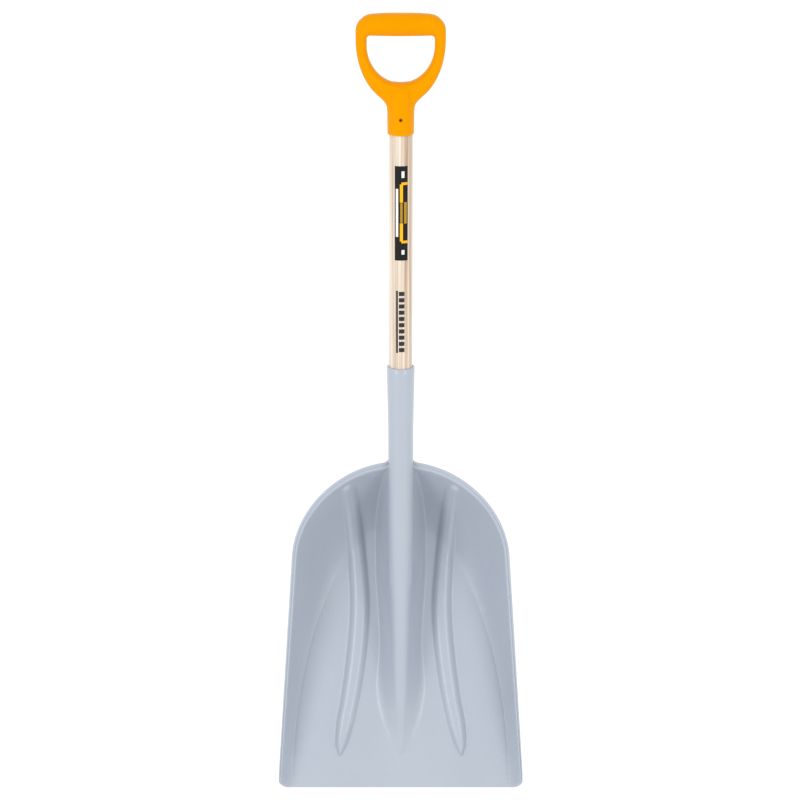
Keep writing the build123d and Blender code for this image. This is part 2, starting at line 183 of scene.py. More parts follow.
BAR_PROFILE = (
    (0.0, 16.9), (22.0, 16.55), (43.6, 15.3), (44.2, 15.0), (45.4, 15.0), (46.0, 15.1), (50.0, 14.0),
    (55.5, 11.3), (59.0, 6.0), (60.0, 0.0),
)
BAR_STEEPNESS = 0.9
COLLAR_STEEPNESS = 0.75
BAR_BLEND = 3.0
COLLAR_BLEND = 8.0
COLLAR_SIDE_BLEND = 2.0
COLLAR_BLEND_FADE = (9.0, 17.0)
GRIP_CELL = 1.15
GRIP_MARGIN = 3.0
GRIP_REACH_UP = 24.0
PIN_PLACE = 24.4
PIN_RADIUS = 2.25
PIN_RING_RADIUS = 4.0
PIN_RING_FLOOR = 19.6

# Label and printed mark on the shaft, along the handle axis
LABEL_START = 731.7
LABEL_LENGTH = 145.7
MARK_START = 586.5
MARK_LENGTH = 98.0
MARK_STRIPE_PLACE = -5.6
MARK_STRIPE_WIDTH = 3.0
MARK_TICK_PLACE = 1.4
MARK_TICK_WIDTH = 8.6
MARK_TICK_LENGTH = 6.6
MARK_TICKS = 10

# Fineness of the meshes
SHARP_ANGLE = 38.0
HALVINGS = 26
LEAST_SHARE = -0.3
GREATEST_SHARE = 1.35
SLOPE_STEP = 0.25
SETTLING_ROUNDS = 14
SURFACE_ROUNDS = 2
SURFACE_NUDGE = 0.05
COLUMN_COUNTS = (3, 8, 10, 7, 3, 18, 14, 26)
CREASE_STRIP = 6
RIB_STRIP_WIDTH = 12.0
RIB_STRIP_MARGIN = 1.2
RIDGE_STRIP_WIDTH = 14.0
RIDGE_STRIP_INSIDE = 4.0
RIDGE_STRIP_OUTSIDE = 6.0
MIDDLE_STRIP = 3.0
CREASE_CROWDING = 1.7
WALL_CROWDING = 0.35
FRONT_ROWS = (
    0.0, 0.15, 0.4, 0.75, 1.2, 2.0, 4.0, 7.0, 11.0, 15.0, 18.5, 20.5, 21.5, 22.5, 23.5, 24.5, 26.5, 30.0,
)
FIRST_SIDE_ROW = 33.0
SIDE_ROW_COUNT = 128
ARCH_ROW_COUNT = 58

mouth_length = ARCH_START + ARCH_LENGTH - LIP_BACK_WIDTH
mouth_front = FRONT_HALF_WIDTH - LIP_FRONT_WIDTH
mouth_taper = (mouth_front - (FRONT_HALF_WIDTH - SIDE_TAPER * ARCH_START) + LIP_SIDE_WIDTH) / ARCH_START

# The tool's own frame, from the places where the CAD says that it rests and is held
mounts = {mount["name"]: mount for mount in frame["record"]["mounts"]}
sole = mounts["sole"]
SOLE_PLACE = Vector((0.0, 25.0, -WALL)) * MM
tool_up = -Vector(sole["axis"])
tool_along = Vector((0.0, tool_up.z, -tool_up.y))
tool_origin = Vector(sole["pos_m"]) - tool_along * SOLE_PLACE.y - tool_up * SOLE_PLACE.z
axis_direction = Vector(mounts["shaft_clip"]["axis"])
axis_point = Vector(mounts["shaft_clip"]["pos_m"]) - tool_origin
lift = atan2(axis_direction.dot(tool_up), axis_direction.dot(tool_along))
AXIS_FOOT = (axis_point.dot(tool_along) - axis_point.dot(tool_up) / tan(lift)) / MM


def on_ground(points):
    """Points of the tool's own frame, in millimetres, as points on the ground, in metres."""
    axes = np.array([(1.0, 0.0, 0.0), tuple(tool_along), tuple(tool_up)])
    return np.asarray(points) @ axes * MM + np.array(tool_origin)


def along_handle(points):
    """Points given across, along the handle axis and up from it, as points of the tool's own frame."""
    across, distance, height = np.moveaxis(np.asarray(points, float), -1, 0)
    y = AXIS_FOOT + distance * cos(lift) - height * sin(lift)
    z = distance * sin(lift) + height * cos(lift)
    return np.stack((across, y, z), axis=-1)


def smooth_max(first, second, blend):
    """The larger of two values, rounded where they differ by less than blend."""
    near = np.maximum(blend - np.abs(first - second), 0.0)
    return np.maximum(first, second) + near ** 2 / (4 * blend)


def smooth_min(first, second, blend):
    return -smooth_max(-first, -second, blend)


def ease(value, start, end):
    """0 before start, 1 after end, and a smooth rise between them."""
    share = np.clip((value - start) / (end - start), 0.0, 1.0)
    return share * share * (3 - 2 * share)


def grown(place, first, last, stretch):
    """A measure that runs smoothly from one value to another over a stretch."""
    return first + (last - first) * ease(place, *stretch)


def groove_shape(place, depth, width):
    """Depth of a shallow rounded groove at a distance from its middle."""
    return depth * np.exp(-(place / width) ** 2)


def through(stations, column):
    """Smooth function through one column of a table of stations, against its first column."""
    table = np.array(stations, float)
    knots = table[:, 0]
    values = table[:, column]
    slopes = np.gradient(values, knots)

    def value_at(place):
        place = np.clip(place, knots[0], knots[-1])
        span = np.clip(np.searchsorted(knots, place) - 1, 0, len(knots) - 2)
        width = knots[span + 1] - knots[span]
        t = (place - knots[span]) / width
        start = (1 + 2 * t) * (1 - t) ** 2 * values[span] + t * (1 - t) ** 2 * width * slopes[span]
        end = t * t * (3 - 2 * t) * values[span + 1] + t * t * (t - 1) * width * slopes[span + 1]
        return start + end

    return value_at


rib_centre = through(RIB_STATIONS, 1)
rib_width = through(RIB_STATIONS, 2)
ridge_base = through(RIDGE_STATIONS, 1)
ridge_radius = through(RIDGE_STATIONS, 2)
ridge_nose_height = through(RIDGE_NOSE_HEIGHTS, 1)


def straight_mouth(y):
    """Half-width of the mouth between its sides, as if they ran on straight."""
    return mouth_front - mouth_taper * y


def straight_outline(y):
    return FRONT_HALF_WIDTH - SIDE_TAPER * y


def rim_height(y):
    return RIM_FRONT_HEIGHT + RIM_SLOPE * y


def dish_share(x, y):
    """Place between the crease, at 0, and the mouth's edge, at 1, and the place along the scoop."""
    low = np.full(np.shape(x), LEAST_SHARE)
    high = np.full(np.shape(x), GREATEST_SHARE)
    for _ in range(HALVINGS):
        share = (low + high) / 2
        reach = np.clip(y / (CREASE_LENGTH + (mouth_length - CREASE_LENGTH) * share), 0.0, 1.0)
        beyond = np.clip((mouth_length * reach - ARCH_START) / (mouth_length - ARCH_START), 0.0, 1.0)
        mouth = straight_mouth(mouth_length * reach) * np.sqrt(1 - beyond ** 2)
        crease = CREASE_HALF_WIDTH * np.sqrt(1 - reach ** 2)
        wide = crease + (mouth - crease) * share > np.abs(x)
        high = np.where(wide, share, high)
        low = np.where(wide, low, share)
    return share, reach


def crease_place(y):
    """Distance of the crease from the centre line, 0 behind the flat floor."""
    return CREASE_HALF_WIDTH * np.sqrt(np.clip(1 - (y / CREASE_LENGTH) ** 2, 0.0, 1.0))


def dish_height(x, y):
    """Height of the bare dish: a flat floor, a soft crease and a wall that steepens to the rim."""
    share, reach = dish_share(x, y)
    rise = WALL_SLANT * share + (1 - WALL_SLANT) * np.maximum(share, 0.0) ** 2
    wall = rise * rim_height(mouth_length * reach)
    place = share * (straight_mouth(y) - crease_place(y))
    faded = 1 - ease(y, *CREASE_GROOVE_FADE)
    groove = groove_shape(place, CREASE_GROOVE_DEPTH, CREASE_GROOVE_WIDTH) * faded
    return smooth_max(wall, 0.0 * wall, CREASE_SOFTNESS + HEEL_SOFTNESS * reach ** 10) - groove


def rib_half_width(y):
    return np.maximum(rib_width(y), RIB_NARROWEST) / 2


def rib_share(x, y):
    """Distance from the middle line of the nearer rib, as a share of its half-width."""
    side = np.abs(x) - rib_centre(y)
    along = np.maximum(y - RIB_STATIONS[-1][0], 0.0)
    share = np.sqrt(side ** 2 + along ** 2) / rib_half_width(y)
    return share + np.maximum(RIB_STATIONS[0][0] - y, 0.0)


def rib_rise(x, y, trim):
    """Height of a rib over the dish, for its top at trim 0 and for the room under it at more."""
    half = rib_half_width(y)
    share = rib_share(x, y) * half / np.maximum(half - trim, RIB_NARROWEST / 2)
    run_out = np.sqrt(np.clip((y - RIB_STATIONS[0][0]) / RIB_RUN_OUT, 0.0, 1.0))
    dome = (RIB_HEIGHT - trim) * (1 - np.minimum(share, 3.0) ** RIB_FULLNESS) * run_out
    groove = groove_shape(share * half, RIB_CREST_GROOVE, RIB_CREST_GROOVE_WIDTH) * run_out
    return smooth_max(dome - groove, 0.0 * dome, RIB_FOOT_SOFTNESS)


def ridge_height(x, y, trim):
    """Height of the central ridge: a round top that follows the socket, and straight drafted sides."""
    across = np.abs(x)
    base = np.maximum(ridge_base(y) - trim, RIDGE_NARROWEST)
    radius = np.maximum(ridge_radius(y) - trim, RIDGE_NARROWEST / 2)
    socket_top = (y - AXIS_FOOT) * tan(lift) + SOCKET_STRAIGHT_RADIUS / cos(lift)
    sink = RIDGE_SINK * ease(y, *RIDGE_SINK_FADE)
    top = np.where(y < RIDGE_NOSE_HEIGHTS[-1][0], ridge_nose_height(y), socket_top - sink) - trim
    top = top * ease(y, RIDGE_NOSE, RIDGE_NOSE + RIDGE_NOSE_LENGTH)
    middle = top - radius / cos(lift)
    drop = middle * cos(lift)
    reach = np.sqrt(base ** 2 + drop ** 2)
    turn = np.arctan2(-drop, base) + np.arccos(np.clip(radius / np.maximum(reach, radius), 0.0, 1.0))
    edge_x = radius * np.cos(turn)
    edge_z = middle + radius * np.sin(turn) / cos(lift)
    crown = middle + np.sqrt(np.maximum(radius ** 2 - across ** 2, 0.0)) / cos(lift)
    side = edge_z * (base - across) / np.maximum(base - edge_x, 0.1)
    return np.where(across < edge_x, crown, side)


def inside_mouth(share):
    """1 over the dish and 0 at the edge of its mouth, where ridge and ribs give way to the rim."""
    return 1 - ease(share, *MOUTH_FADE)


def top_height(x, y):
    """Height of the scoop's upper surface inside its mouth."""
    share, _ = dish_share(x, y)
    dish = dish_height(x, y) + rib_rise(x, y, 0.0) * inside_mouth(share)
    ridge = ridge_height(x, y, 0.0)
    groove = groove_shape(x, RIDGE_GROOVE_DEPTH, RIDGE_GROOVE_WIDTH) * (1 - ease(y, *RIDGE_GROOVE_FADE))
    ridge = dish + (ridge - groove * ease(y, *RIDGE_GROOVE_START) - dish) * inside_mouth(share)
    widest = grown(y, RIDGE_FRONT_FILLET, RIDGE_BACK_FILLET, RIDGE_FILLET_GROWTH)
    crest = np.maximum(ridge_height(0 * x, y, 0.0), 0.0)
    fillet = np.minimum(RIDGE_LEAST_FILLET + RIDGE_FILLET_SHARE * crest, widest)
    height = smooth_max(dish, ridge, fillet * inside_mouth(share) + LEAST_BLEND)
    height = smooth_min(height, rim_height(y) + RIM_CLEARANCE * inside_mouth(share), RIM_ROUNDING)
    front_edge = np.clip((FRONT_EDGE_ROUNDING - edge_distance(x, y)) / FRONT_EDGE_ROUNDING, 0.0, 1.0)
    rounding = FRONT_EDGE_ROUNDING * (1 - np.sqrt(1 - front_edge ** 2))
    lip_start = FRONT_LIP_LENGTH - FRONT_LIP_STEP
    lip = FRONT_LIP_DROP * (1 - ease(edge_distance(x, y), lip_start, FRONT_LIP_LENGTH))
    return height - lip - rounding


def under_height(x, y):
    """Height of the scoop's underside, one wall below the dish and open under the ribs and ridge."""
    slope_x = (dish_height(x + SLOPE_STEP, y) - dish_height(x - SLOPE_STEP, y)) / (2 * SLOPE_STEP)
    slope_y = (dish_height(x, y + SLOPE_STEP) - dish_height(x, y - SLOPE_STEP)) / (2 * SLOPE_STEP)
    skin = dish_height(x, y) - WALL * np.sqrt(1 + slope_x ** 2 + slope_y ** 2)
    skin = skin + rib_rise(x, y, RIB_CHANNEL_DEPTH)
    opened = ease(y, *CHANNEL_FADE)
    channel = ridge_height(x, y, WALL) * opened - WALL
    channel = np.minimum(channel + WALL, channel + 2 * WALL * opened)
    softness = grown(y, CHANNEL_FRONT_SOFTNESS, CHANNEL_BACK_SOFTNESS, CHANNEL_SOFTENING)
    under = smooth_max(skin, np.where(y > CHANNEL_FADE[0], channel, skin - CHANNEL_CLEARANCE), softness)
    edge = FRONT_UNDER_ROUNDING * (1 - ease(edge_distance(x, y), 0.0, FRONT_UNDER_LENGTH))
    return np.minimum(under, rim_height(y) - WALL) + edge


def corner_start(x):
    """Distance of the front edge behind the front line, which grows round the front corners."""
    side = straight_outline(CORNER_LENGTH) - CORNER_WIDTH
    beyond = np.clip((np.abs(x) - side) / CORNER_WIDTH, 0.0, 1.0)
    return CORNER_LENGTH * (1 - np.sqrt(1 - beyond ** 2))


def edge_distance(x, y):
    return np.maximum(y - corner_start(x), 0.0)


def column_lines(y, width):
    """Lines along which the columns of the scoop's mesh run, from the middle outwards."""
    rib_half = np.maximum(rib_width(y), RIB_STRIP_WIDTH) / 2 + RIB_STRIP_MARGIN
    rib_inside = rib_centre(y) - rib_half
    rib_outside = rib_centre(y) + rib_half
    base = np.maximum(ridge_base(y), RIDGE_STRIP_WIDTH)
    crown = np.clip(ridge_radius(y) * 0.97, RIDGE_STRIP_WIDTH / 2, base - RIDGE_STRIP_INSIDE)
    crease = np.maximum(crease_place(y), rib_outside + 0.4 * (width - rib_outside))
    ridge_lines = (0 * y, 0 * y + MIDDLE_STRIP, crown, base - RIDGE_STRIP_INSIDE, base + RIDGE_STRIP_OUTSIDE)
    return np.stack(ridge_lines + (rib_inside, rib_outside, crease, width))


# Each column's strip between two lines and its place across it, crowded towards the crease
column_strip = []
column_place = []
for strip, count in enumerate(COLUMN_COUNTS):
    for step in range(count):
        place = step / count
        if strip == CREASE_STRIP:
            place = 1 - (1 - place) ** CREASE_CROWDING
        elif strip == CREASE_STRIP + 1:
            place = WALL_CROWDING * place ** 2 + (1 - WALL_CROWDING) * place
        column_strip.append(strip)
        column_place.append(place)
column_strip.append(len(COLUMN_COUNTS) - 1)
column_place.append(1.0)
column_strip = np.array(column_strip)
column_place = np.array(column_place)

# Each row's distance behind the front edge, and its place round the arch of the back
side_rows = np.concatenate((FRONT_ROWS, np.linspace(FIRST_SIDE_ROW, ARCH_START, SIDE_ROW_COUNT)))
arch_rows = np.linspace(0.0, 1.0, ARCH_ROW_COUNT + 1)[1:]
row_start = np.concatenate((side_rows, np.full(len(arch_rows), ARCH_START)))[:, None]
row_arch = np.concatenate((np.zeros(len(side_rows)), arch_rows))[:, None]


def grid_places():
    """Places of the right half of the scoop's grid, and each point's place on the arch's quarter disc."""
    y = row_start + np.zeros(len(column_strip))
    corner_fade = np.maximum(1 - row_start / CORNER_FADE, 0.0) * (row_arch == 0)
    for _ in range(SETTLING_ROUNDS):
        width = straight_mouth(y) * np.sqrt(1 - row_arch ** 2 / 2)
        lines = column_lines(y, width)
        columns = np.arange(len(column_strip))
        low = lines[column_strip, :, columns].T
        high = lines[column_strip + 1, :, columns].T
        x = low + (high - low) * column_place
        share = x / width
        arch = (mouth_length - ARCH_START) * row_arch * np.sqrt(1 - share ** 2 / 2)
        y = row_start + corner_fade * corner_start(x) + arch
    disc_x = share * np.sqrt(1 - row_arch ** 2 / 2)
    disc_y = row_arch * np.sqrt(1 - share ** 2 / 2)
    return x, y, share, disc_x, disc_y


def mirrored(half):
    """A right half of the grid with its mirror image on the left."""
    return np.concatenate((half[:, :0:-1], half), axis=1)


def scoop_shell():
    """Vertices and faces of the closed shell of the scoop: upper surface, underside and rim's lip."""
    x, y, share, disc_x, disc_y = grid_places()
    signs = np.concatenate((-np.ones(x.shape[1] - 1), np.ones(x.shape[1])))
    outward = ease(np.maximum(share, row_arch + 0 * share), *UNDER_SPREAD_FADE) * WALL * UNDER_SPREAD
    under_x = x + outward * disc_x
    under_y = y + outward * disc_y
    top = np.stack((mirrored(x) * signs, mirrored(y), mirrored(top_height(x, y))), axis=-1)
    under_z = under_height(under_x, under_y)
    under = np.stack((mirrored(under_x) * signs, mirrored(under_y), mirrored(under_z)), axis=-1)
    rows, columns = top.shape[:2]

    # The chain of edge points, from the front right corner round the back to the front left one
    last = x.shape[1] - 1
    side_chain = [(row, last) for row in range(rows)]
    back_chain = [(rows - 1, column) for column in range(last - 1, 0, -1)]
    right_chain = side_chain + back_chain
    chain_rows = np.array([row for row, _ in right_chain])
    chain_columns = np.array([column for _, column in right_chain])
    chain_start = row_start[chain_rows, 0]
    on_arch = row_arch[chain_rows, 0] > 0
    chain_x = disc_x[chain_rows, chain_columns]
    chain_y = disc_y[chain_rows, chain_columns]
    fade = np.maximum(1 - chain_start / CORNER_FADE, 0.0) * ~on_arch
    levels = []
    for place, drop in LIP_TOP + LIP_UNDER:
        lip_y = chain_start.copy()
        for _ in range(SETTLING_ROUNDS):
            width = straight_mouth(lip_y) + (straight_outline(lip_y) - straight_mouth(lip_y)) * place
            lip_x = width * np.where(on_arch, chain_x, 1.0)
            arch_y = ARCH_START + (mouth_length - ARCH_START + LIP_BACK_WIDTH * place) * chain_y
            lip_y = np.where(on_arch, arch_y, chain_start + fade * corner_start(lip_x))
        web = np.clip((LIP_WEB_WIDTH + SHAFT_RADIUS - lip_x) / LIP_WEB_WIDTH, 0.0, 1.0) ** 2
        lip_y = lip_y + LIP_WEB_LENGTH * place * web * (chain_y > LIP_WEB_SHARE)
        level = rim_height(lip_y) - drop
        if (place, drop) in LIP_TOP:
            level = smooth_min(dish_height(lip_x, lip_y), level, RIM_ROUNDING)
        levels.append(np.stack((lip_x, lip_y, level), axis=-1))
    lip = np.array(levels)
    lip_left = lip[:, ::-1] * np.array((-1.0, 1.0, 1.0))

    # The middle of the back edge, which the two halves of the chain share
    middle = []
    for place, drop in LIP_TOP + LIP_UNDER:
        middle_y = mouth_length + (LIP_BACK_WIDTH + LIP_WEB_LENGTH) * place
        middle.append([(0.0, middle_y, rim_height(middle_y) - drop)])
    lip = np.concatenate((lip, np.array(middle), lip_left), axis=1)

    points = np.concatenate((top.reshape(-1, 3), under.reshape(-1, 3), lip.reshape(-1, 3)))
    top_index = np.arange(rows * columns).reshape(rows, columns)
    under_index = top_index + rows * columns
    lip_index = np.arange(lip.shape[0] * lip.shape[1]).reshape(lip.shape[:2]) + 2 * rows * columns
    edge_rows = np.concatenate((chain_rows, [rows - 1], chain_rows[::-1]))
    edge_columns = np.concatenate((chain_columns + last, [last], last - chain_columns[::-1]))
    rings = np.concatenate((
        top_index[edge_rows, edge_columns][None],
        lip_index,
        under_index[edge_rows, edge_columns][None],
    ))
    faces = []
    faces.append(quads(top_index))
    faces.append(quads(under_index)[:, ::-1])
    faces.append(quads(rings.T))
    faces.append(quads(np.stack((under_index[0], top_index[0]))))
    faces = [tuple(face) for block in faces for face in block.tolist()]
    upper_places = [0.0] + [place for place, _ in LIP_TOP]
    lower_places = [0.0] + [place for place, _ in LIP_UNDER[::-1]]
    for end, turn in ((0, -1), (-1, 1)):
        upper = rings[:len(upper_places), end].tolist()
        lower = rings[:len(upper_places) - 1:-1, end].tolist()
        faces += [face[::turn] for face in zipped(upper, lower, upper_places, lower_places)]
    return points, faces


def zipped(upper, lower, upper_places, lower_places):
    """Triangles between two chains of points, each with places that rise along it."""
    faces = []
    i = 0
    j = 0
    while i < len(upper) - 1 or j < len(lower) - 1:
        upper_next = upper_places[i + 1] if i < len(upper) - 1 else np.inf
        lower_next = lower_places[j + 1] if j < len(lower) - 1 else np.inf
        if upper_next <= lower_next:
            faces.append((upper[i], upper[i + 1], lower[j]))
            i += 1
        else:
            faces.append((upper[i], lower[j + 1], lower[j]))
            j += 1
    return faces


def quads(index):
    """Faces between the neighbouring points of a grid of indices."""
    return np.stack((index[:-1, :-1], index[:-1, 1:], index[1:, 1:], index[1:, :-1]), axis=-1).reshape(-1, 4)


def turned(profile, sides):
    """Closed solid turned about the handle axis, from (distance, radius) points that end on the axis."""
    points = []
    for distance, radius in profile[1:-1]:
        for side in range(sides):
            angle = 2 * pi * side / sides
            points.append((radius * sin(angle), distance, radius * cos(angle)))
    rings = len(profile) - 2
    index = np.arange(rings * sides).reshape(rings, sides)
    index = np.concatenate((index, index[:, :1]), axis=1)
    faces = [tuple(face) for face in quads(index).tolist()]
    start = len(points)
    points += [(0.0, profile[0][0], 0.0), (0.0, profile[-1][0], 0.0)]
    for side in range(sides):
        faces.append((start, int(index[0, side + 1]), int(index[0, side])))
        faces.append((start + 1, int(index[-1, side]), int(index[-1, side + 1])))
    return along_handle(points), faces


def refined(profile, spacing):
    """A profile with its long stretches divided, so that the faces of a turned solid stay short."""
    points = [profile[0]]
    for start, end in zip(profile[:-1], profile[1:]):
        pieces = max(1, int(abs(end[0] - start[0]) / spacing))
        for piece in range(1, pieces + 1):
            share = piece / pieces
            points.append((start[0] + (end[0] - start[0]) * share, start[1] + (end[1] - start[1]) * share))
    return points


def screw_seat():
    """Closed round peg whose end is the flat seat of the screw's head, at the back of the socket."""
    sides = SCREW_SEAT_SIDES
    points = []
    for height in (-SCREW_SEAT_HEIGHT, -SCREW_SEAT_HEIGHT - SCREW_SEAT_DEPTH):
        for side in range(sides):
            angle = 2 * pi * side / sides
            distance = SCREW_PLACE + SCREW_SEAT_RADIUS * sin(angle)
            points.append((SCREW_SEAT_RADIUS * cos(angle), distance, height))
    faces = []
    for side in range(sides):
        after = (side + 1) % sides
        faces.append((sides + side, sides + after, after, side))
    faces += [tuple(range(sides)), tuple(range(2 * sides - 1, sides - 1, -1))]
    return along_handle(points), faces


def make_object(name, points, faces, material):
    """Object with smooth faces from points of the tool's own frame."""
    mesh = bpy.data.meshes.new(name)
    mesh.from_pydata(on_ground(points).tolist(), [], faces)
    mesh.validate()
    mesh.shade_smooth()
    mesh.set_sharp_from_angle(angle=radians(SHARP_ANGLE))
    mesh.materials.append(material)
    piece = bpy.data.objects.new(name, mesh)
    bpy.context.scene.collection.objects.link(piece)
    return piece


def combine(piece, others, operation):
    """The piece joined with or cut by other closed pieces, which are then removed."""
    for other in others:
        modifier = piece.modifiers.new(operation.lower(), "BOOLEAN")
        modifier.operation = operation
        modifier.solver = "MANIFOLD"
        modifier.object = other
    bpy.context.view_layer.update()
    graph = bpy.context.evaluated_depsgraph_get()
    mesh = bpy.data.meshes.new_from_object(piece.evaluated_get(graph))
    piece.modifiers.clear()
    piece.data = mesh
    for other in others:
        bpy.data.objects.remove(other)


def inside_distance(points, outline):
    """Distance of points to a closed outline, negative inside it."""
    start = np.array(outline)
    end = np.roll(start, -1, axis=0)
    nearest = np.full(points.shape[0], 1e9)
    crossings = np.zeros(points.shape[0], int)
    for (x0, y0), (x1, y1) in zip(start, end):
        run_x, run_y = x1 - x0, y1 - y0
        length = max(run_x ** 2 + run_y ** 2, 1e-12)
        share = np.clip(((points[:, 0] - x0) * run_x + (points[:, 1] - y0) * run_y) / length, 0.0, 1.0)
        gap = (points[:, 0] - x0 - share * run_x) ** 2 + (points[:, 1] - y0 - share * run_y) ** 2
        nearest = np.minimum(nearest, gap)
        if abs(run_y) > 1e-12:
            level = (y0 > points[:, 1]) != (y1 > points[:, 1])
            crossings += level & (points[:, 0] < run_x * (points[:, 1] - y0) / run_y + x0)
    return np.where(crossings % 2 == 1, -1.0, 1.0) * np.sqrt(nearest)


def curve_points(start, start_pull, end_pull, end, count):
    """Points of a cubic curve between two ends, without its first point."""
    steps = np.linspace(0.0, 1.0, count + 1)[1:, None]
    rest = 1 - steps
    a, b, c, d = (np.array(point, float) for point in (start, start_pull, end_pull, end))
    curve = rest ** 3 * a + 3 * rest ** 2 * steps * b + 3 * rest * steps ** 2 * c + steps ** 3 * d
    return curve.tolist()


def grip_outline():
    """Outline of the grip seen from the front, without its collar."""
    bow = []
    for turn in range(BOW_START, 1, BOW_STEP):
        bow.append((GRIP_HALF_WIDTH * cos(radians(turn)), BOW_CENTRE + BOW_LENGTH * sin(radians(turn))))
    start_x, start_y = bow[0]
    run_x = -GRIP_HALF_WIDTH * sin(radians(BOW_START)) * BOW_PULL
    run_y = BOW_LENGTH * cos(radians(BOW_START)) * BOW_PULL
    neck = (NECK_HALF_WIDTH, NECK_START)
    shoulder = (GRIP_HALF_WIDTH, SHOULDER)
    corner_x = GRIP_HALF_WIDTH - CORNER_REACH
    corner_y = GRIP_LENGTH - GRIP_CROWN
    corner = (corner_x, corner_y)
    top = (0.0, GRIP_LENGTH)
    neck_pulls = (NECK_HALF_WIDTH, NECK_START + 8.0), (start_x - run_x, start_y - run_y)
    corner_pulls = (GRIP_HALF_WIDTH, SHOULDER + 14.0), (corner_x + 13.0, corner_y - 1.0)
    top_pulls = (corner_x - 12.0, corner_y + 0.9), (14.0, GRIP_LENGTH)
    half = [neck]
    half += curve_points(neck, *neck_pulls, bow[0], 8)
    half += bow[1:]
    half.append(shoulder)
    half += curve_points(shoulder, *corner_pulls, corner, 10)
    half += curve_points(corner, *top_pulls, top, 6)
    return half + [(-x, y) for x, y in reversed(half[:-1])]


def opening_outline():
    """Outline of the finger opening, with a bowed bottom and a nearly square top."""
    half = []
    for turn in range(-90, 1, 5):
        bow_y = OPENING_CENTRE + OPENING_BOW * sin(radians(turn))
        half.append((OPENING_HALF_WIDTH * cos(radians(turn)), bow_y))
    for turn in range(0, 91, 15):
        half.append((OPENING_HALF_WIDTH - OPENING_CORNER * (1 - cos(radians(turn))),
                     OPENING_TOP - OPENING_CORNER * (1 - sin(radians(turn)))))
    return half + [(-x, y) for x, y in reversed(half[1:])]


grip_edge = grip_outline()
opening_edge = opening_outline()


def grip_distance(points):
    """Distance of points (across, along, up) to the surface of the grip, negative inside it."""
    across, along, up = points[:, 0], points[:, 1], points[:, 2]
    plan = points[:, :2]
    outside = inside_distance(plan, grip_edge)
    opening = inside_distance(plan, opening_edge)
    plate_x = np.maximum(outside, -opening) + GRIP_EDGE_RADIUS
    plate_z = np.abs(up) - GRIP_HALF_THICKNESS + GRIP_EDGE_RADIUS
    plate = np.hypot(np.maximum(plate_x, 0), np.maximum(plate_z, 0))
    plate = plate + np.minimum(np.maximum(plate_x, plate_z), 0) - GRIP_EDGE_RADIUS
    bar_reach, bar_radius = np.array(BAR_PROFILE).T
    bar = np.hypot(along - BAR_CENTRE, up) - np.interp(np.abs(across), bar_reach, bar_radius)
    bar = np.maximum(bar * BAR_STEEPNESS, np.abs(across) - bar_reach[-1])
    collar_reach, collar_radius = np.array(COLLAR_PROFILE).T
    collar = np.hypot(across, up) - np.interp(along, collar_reach, collar_radius)
    collar = np.maximum(np.maximum(collar * COLLAR_STEEPNESS, -along), along - collar_reach[-1])
    blend = grown(np.abs(across), COLLAR_BLEND, COLLAR_SIDE_BLEND, COLLAR_BLEND_FADE)
    solid = smooth_min(smooth_min(plate, bar, BAR_BLEND), collar, blend)
    solid = np.maximum(solid, along - GRIP_LENGTH)
    shaft_distance, shaft_radius = np.array(SHAFT_CLEARANCE).T
    bore = np.hypot(across, up) - np.interp(along + COLLAR_MOUTH, shaft_distance, shaft_radius)
    bore = np.maximum(bore, along - (shaft_distance[-1] - COLLAR_MOUTH))
    pin = np.hypot(across, along - PIN_PLACE)
    ring = np.maximum(pin - PIN_RING_RADIUS, PIN_RING_FLOOR - up)
    return np.maximum(np.maximum(solid, -bore), np.maximum(PIN_RADIUS - pin, -ring))


